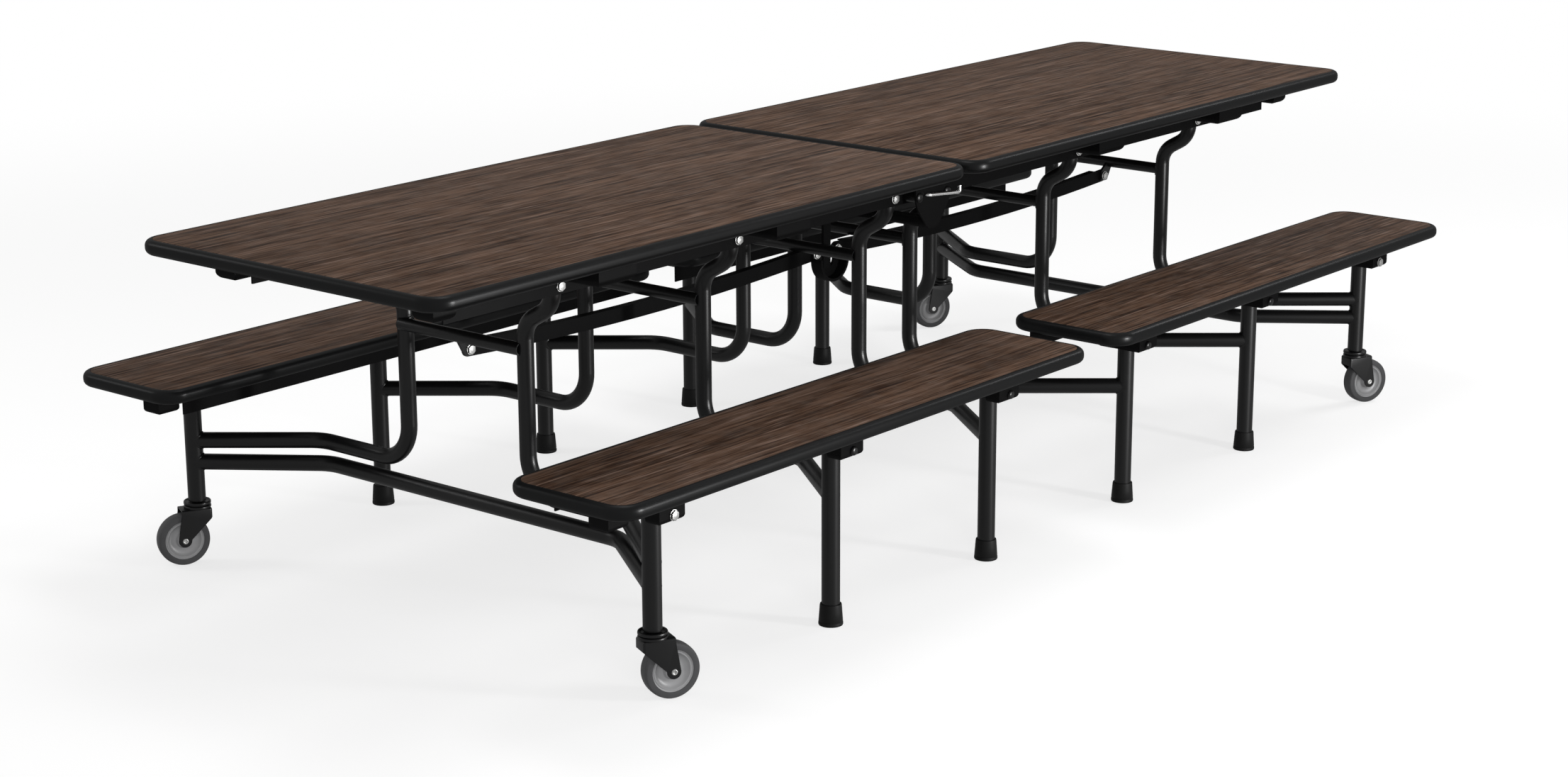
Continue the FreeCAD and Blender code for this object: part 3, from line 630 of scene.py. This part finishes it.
# Turned parts of the fork as (radius, height): over the floor, and for the axle's ends over a cheek.
raceway = [(0.0, 0.1142), (0.0255, 0.1142), (0.0268, 0.1150), (0.0270, 0.1164), (0.0269, 0.1186),
           (0.0262, 0.1198), (0.0240, 0.1202), (0.0232, 0.1208), (0.0232, 0.1214), (0.0241, 0.1220),
           (0.0262, 0.1222), (0.0269, 0.1230), (0.0270, 0.1250), (0.0268, 0.1270), (0.0260, 0.1281),
           (0.0246, 0.1284), (0.0238, 0.1276), (0.0225, 0.1262), (0.0190, 0.1260), (0.0105, 0.1262),
           (0.0099, 0.1270), (0.0099, 0.1589), (0.0, 0.1589)]
rivet = [(0.0, 0.1040), (0.0052, 0.1043), (0.0082, 0.1056), (0.0092, 0.1072), (0.0092, 0.1125),
         (0.0, 0.1125)]
axleEnd = [(0.0, 0.0005), (0.0021, 0.0006), (0.0027, 0.0016), (0.0045, 0.0019), (0.0056, 0.0013),
           (0.006, 0.0)]


def softEdges(obj, width):
    bevel = obj.modifiers.new("softEdges", "BEVEL")
    bevel.limit_method = "ANGLE"
    bevel.angle_limit = math.radians(40.0)
    bevel.width = width
    bevel.segments = 2


# The fork is one pressed cap: a prism without its lower walls, folded, then given its thickness.
def makeFork(half, side):
    stem = half + "_" + side + "_"
    place = casterPlace(half, side)
    top, front, back, skirt = (caster[key] for key in ("top", "front", "back", "skirt"))
    foot, axleZ, halfWidth = caster["foot"], caster["wheelRadius"], caster["halfWidth"]
    trail = caster["trail"]
    footTop = axleZ + caster["footRise"]
    outline = [(-front, top), (back, top), (back, top - skirt), (trail + foot, footTop),
               (trail + foot, axleZ - foot), (trail - foot, axleZ - foot), (trail - foot, footTop),
               (-front, top - caster["frontSkirt"])]
    bm = bmesh.new()
    corners = [bm.verts.new((x, -halfWidth, z)) for x, z in outline]
    bm.faces.new(corners)
    bmesh.ops.bevel(bm, geom=corners[4:6], offset=foot - caster["footGap"], offset_type="OFFSET", segments=10,
                    profile=0.5, affect="VERTICES", material=-1)
    raised = bmesh.ops.extrude_face_region(bm, geom=list(bm.faces))["geom"]
    bmesh.ops.translate(bm, vec=(0, 2 * halfWidth, 0), verts=onlyVerts(raised))
    bmesh.ops.recalc_face_normals(bm, faces=bm.faces)
    lower = [face for face in bm.faces if abs(face.normal.y) < 0.5 and face.normal.z < 0.9
             and not (face.normal.x < -0.98 and face.calc_center_median().z > top - caster["frontSkirt"])]
    bmesh.ops.delete(bm, geom=lower, context="FACES")
    folds = [edge for edge in bm.edges if len(edge.link_faces) == 2 and edge.calc_face_angle() > 1.0]
    easeEdges(bm, folds, caster["fold"], 4)
    bmesh.ops.solidify(bm, geom=list(bm.faces), thickness=caster["wall"])
    bmesh.ops.transform(bm, matrix=place, verts=bm.verts)
    shell = newPiece(stem + "fork_shell", bm, "paint", stem + "fork",
                     [stem + "caster_fork"])
    softEdges(shell, caster["edgeEase"])
    bm = bmesh.new()
    turned(bm, place, raceway, 64)
    turned(bm, place, rivet, 32)
    newPiece(stem + "fork_raceway", bm, "paint", stem + "fork", sharpAngle=50.0)
    bm = bmesh.new()
    axlePlace = place @ facing((trail, 0, axleZ), (0, 1, 0))
    disc(bm, axlePlace, caster["axleRadius"], -halfWidth, halfWidth, 24)
    for way in (-1, 1):
        turned(bm, place @ facing((trail, way * halfWidth, axleZ), (0, way, 0)), axleEnd, 32)
    newPiece(stem + "fork_axle", bm, "zinc", stem + "fork", sharpAngle=50.0)


for half in halves:
    for side in sides:
        makeFork(half, side)
print("forks made")


# Rubber feet of the middle and inner frames.
feet = {"stagger": 0.16, "outline": [
    (0.0, 0.0012), (0.0085, 0.0012), (0.0098, 0.0), (0.0214, 0.0), (0.0229, 0.0005), (0.0235, 0.0020),
    (0.0233, 0.0062), (0.0222, 0.0072), (0.0222, 0.0082), (0.0230, 0.0092), (0.0217, 0.0265),
    (0.0208, 0.0392), (0.0202, 0.0415), (0.0190, 0.0420), (0.0177, 0.0412), (0.0176, 0.0061),
    (0.0, 0.0061)]}

for half, way in halves.items():
    for name in ("middle", "inner"):
        body = half + "_" + name + "_frame"
        bm = bmesh.new()
        for side in sides.values():
            x = way * (frameDistance[name] + feet["stagger"])
            turned(bm, Matrix.Translation((x, side * caster["legY"], 0.0)), feet["outline"], 48)
        newPiece(half + "_" + name + "_foot_caps", bm, "rubber", body, [body + "_feet"], 45.0)
print("feet made")


# Weld beads: a ring round each tube end, laid on the round tube that it meets.
welds = {"bead": 0.0021, "ripple": 0.00028, "ripples": 46, "sides": 6, "steps": 92, "legRadius": 0.0175,
         "postRadius": 0.016, "braceRadius": 0.0125, "postY": 0.158, "braceZ": 0.53, "footZ": 0.252,
         "crossZ": 0.208, "run": (0.16, 0.2), "crossRun": (0.16, 0.22)}


def weldBead(bm, origin, along, hostRadius, tubeRadius):
    before = set(bm.verts)
    bead = welds["bead"]
    turns = [2 * math.pi * side / welds["sides"] for side in range(welds["sides"])]
    ring = [bm.verts.new((tubeRadius + bead * math.cos(turn), 0.0, bead * math.sin(turn)))
            for turn in turns]
    edges = [bm.edges.new(pair) for pair in zip(ring, ring[1:] + ring[:1])]
    bmesh.ops.spin(bm, geom=ring + edges, cent=(0, 0, 0), axis=(0, 0, 1), dvec=(0, 0, 0),
                   angle=2 * math.pi, steps=welds["steps"], use_merge=True, use_duplicate=False)
    for vert in added(bm, before):
        turn = math.atan2(vert.co.y, vert.co.x)
        ripple = welds["ripple"] * math.sin(welds["ripples"] * turn)
        vert.co.z += math.sqrt(max(hostRadius ** 2 - vert.co.x ** 2, 0.0)) + ripple
    ahead = Vector(along).normalized()
    upward = Vector((0, 0, 1))
    turnTo = Matrix((upward.cross(ahead), upward, ahead)).transposed().to_4x4()
    bmesh.ops.transform(bm, matrix=Matrix.Translation(origin) @ turnTo, verts=added(bm, before))


for half, way in halves.items():
    for name, x in frameDistance.items():
        bm = bmesh.new()
        for side in sides.values():
            leg = (way * (x + feet["stagger"]), side * caster["legY"])
            tubes = [("footZ", "run"), ("crossZ", "crossRun")] if name == "end" else [("footZ", "run")]
            for level, direction in tubes:
                run, rise = welds[direction]
                weldBead(bm, (*leg, welds[level]), (-way * run, -side * rise, 0), welds["legRadius"],
                         welds["postRadius"])
            post = (way * x, side * welds["postY"], welds["braceZ"])
            weldBead(bm, post, (0, -side, 0), welds["postRadius"], welds["braceRadius"])
        body = half + "_" + name + "_frame"
        newPiece(body + "_welds", bm, "paint", body)
print("welds made")


# Screws in the end blocks: a round head with a cross recess, a grid pushed out to a disc.
screws = {"cells": 9, "radius": 0.0055, "height": 0.003, "turn": 0.4, "crown": 0.45, "recessWidth": 1.05,
          "recessLength": 0.72, "recessTaper": 0.86, "recessFloor": 0.45}


def crossHead(bm, place):
    before = set(bm.verts)
    radius, height = screws["radius"], screws["height"]
    cells = screws["cells"]
    bmesh.ops.create_grid(bm, x_segments=cells, y_segments=cells, size=1.0)
    grid = added(bm, before)
    faces = {face for vert in grid for face in vert.link_faces}
    middle, arm = screws["recessWidth"] / cells, screws["recessLength"] * (cells - 2.0) / cells
    cross = [face for face in faces
             if min(abs(face.calc_center_median().x), abs(face.calc_center_median().y)) < middle
             and max(abs(face.calc_center_median().x), abs(face.calc_center_median().y)) < arm]
    rim = [edge for edge in {edge for face in faces for edge in face.edges} if len(edge.link_faces) == 1]
    sunk = bmesh.ops.extrude_face_region(bm, geom=cross)["geom"]
    floorVerts = set(onlyVerts(sunk))
    bmesh.ops.delete(bm, geom=cross, context="FACES_ONLY")
    skirt = bmesh.ops.extrude_edge_only(bm, edges=rim)["geom"]
    skirtVerts = set(onlyVerts(skirt))
    for vert in added(bm, before):
        x, y = vert.co.x, vert.co.y
        flat = Vector((x * math.sqrt(1 - y * y / 2), y * math.sqrt(1 - x * x / 2)))
        level = height * (1 - screws["crown"] * flat.length_squared)
        if vert in floorVerts:
            flat *= screws["recessTaper"]
            level = height * screws["recessFloor"]
        if vert in skirtVerts:
            level = 0.0
        vert.co = (flat.x * radius, flat.y * radius, level)
    bmesh.ops.transform(bm, matrix=place, verts=added(bm, before))


for half in halves:
    bm = bmesh.new()
    for lo, hi in solidBoxes(half + "_top_screws"):
        outward = 1 if lo.y > 0 else -1
        face = lo.y if outward > 0 else hi.y
        place = facing(((lo.x + hi.x) / 2, face, (lo.z + hi.z) / 2), (0, outward, 0))
        crossHead(bm, place @ Matrix.Rotation(screws["turn"], 4, "Z"))
    newPiece(half + "_block_screws", bm, "yellowZinc", half + "_top", [half + "_top_screws"], 50.0)
print("screws made")


# Floor and light.
studio = {"floorColour": 0.36, "floorLift": 0.715, "nearFloor": 2.0, "farFloor": 5.5, "worldFill": 0.36,
          "floorSize": 60.0, "floorRoughness": 0.9}


# 1 for rays that show a surface, straight or by reflection, and 0 for rays that light another one.
def seenRays(tree):
    path = addNode(tree, "ShaderNodeLightPath")
    seen = path.outputs["Is Camera Ray"]
    for label in ("Is Glossy Ray", "Is Transmission Ray"):
        most = addNode(tree, "ShaderNodeMath", operation="MAXIMUM")
        join(tree, seen, most.inputs[0])
        join(tree, path.outputs[label], most.inputs[1])
        seen = most.outputs[0]
    return seen


# The floor is paint round the object, and fades to plain white far away from it.
def makeFloor():
    bm = bmesh.new()
    bmesh.ops.create_grid(bm, x_segments=1, y_segments=1, size=studio["floorSize"])
    mesh = bpy.data.meshes.new("floor")
    bm.to_mesh(mesh)
    bm.free()
    material, tree, shader = newMaterial("floorPaint", Roughness=studio["floorRoughness"])
    shader.inputs["Specular IOR Level"].default_value = 0.0
    shader.inputs["Emission Color"].default_value = (1.0, 1.0, 1.0, 1.0)
    reach = addNode(tree, "ShaderNodeVectorMath", operation="LENGTH")
    join(tree, addNode(tree, "ShaderNodeTexCoord").outputs["Object"], reach.inputs[0])
    far = addNode(tree, "ShaderNodeMapRange", interpolation_type="SMOOTHSTEP")
    join(tree, reach.outputs["Value"], far.inputs["Value"])
    far.inputs["From Min"].default_value = studio["nearFloor"]
    far.inputs["From Max"].default_value = studio["farFloor"]
    paint = (studio["floorColour"],) * 3
    colour = mixColours(tree, far.outputs["Result"], paint, (0.0, 0.0, 0.0))
    join(tree, colour, shader.inputs["Base Color"])
    lift = remap(tree, far.outputs["Result"], 0.0, 1.0, studio["floorLift"], 1.0)
    join(tree, multiplied(tree, lift, seenRays(tree)), shader.inputs["Emission Strength"])
    mesh.materials.append(material)
    obj = bpy.data.objects.new("floor", mesh)
    bpy.context.scene.collection.objects.link(obj)


def makeWorld():
    world = bpy.data.worlds.new("studio")
    bpy.context.scene.world = world
    world.use_nodes = True
    tree = world.node_tree
    shader = tree.nodes["Background"]
    shader.inputs["Color"].default_value = (1.0, 1.0, 1.0, 1.0)
    strength = remap(tree, seenRays(tree), 0.0, 1.0, studio["worldFill"], 1.0)
    join(tree, strength, shader.inputs["Strength"])


lamps = {
    "overhead": {"place": (-0.3, 0.1, 3.3), "aim": (-0.1, 0.0, 0.4), "size": (1.8, 0.9), "power": 34.0},
    "rightStrip": {"place": (0.6, -3.9, 1.6), "aim": (-0.2, 0.0, 0.4), "size": (0.4, 2.0), "power": 50.0},
    "farRight": {"place": (3.7, -1.4, 2.8), "aim": (0.0, -0.2, 0.6), "size": (1.0, 0.8), "power": 46.0},
    "leftSide": {"place": (-2.8, 3.2, 2.4), "aim": (0.0, 0.0, 0.5), "size": (0.8, 1.2), "power": 24.0},
    "fill": {"place": (-4.6, -4.4, 1.4), "aim": (-0.2, 0.0, 0.4), "size": (2.2, 2.0), "power": 130.0,
             "glossy": False},
    "glint": {"place": (0.3, -3.7, 0.5), "aim": (-0.3, 0.0, 0.4), "size": (0.22, 0.8), "power": 300.0,
              "diffuse": False},
}


def makeLamps():
    for name, values in lamps.items():
        data = bpy.data.lights.new(name, "AREA")
        data.shape = "RECTANGLE"
        data.size, data.size_y = values["size"]
        data.energy = values["power"]
        obj = bpy.data.objects.new(name, data)
        obj.visible_glossy = values.get("glossy", True)
        obj.visible_diffuse = values.get("diffuse", True)
        bpy.context.scene.collection.objects.link(obj)
        aim = Vector(values["aim"]) - Vector(values["place"])
        turn = aim.to_track_quat("-Z", "Y").to_matrix().to_4x4()
        obj.matrix_world = Matrix.Translation(values["place"]) @ turn


makeFloor()
makeWorld()
makeLamps()
bpy.context.scene.view_settings.view_transform = "Standard"
print("studio made")
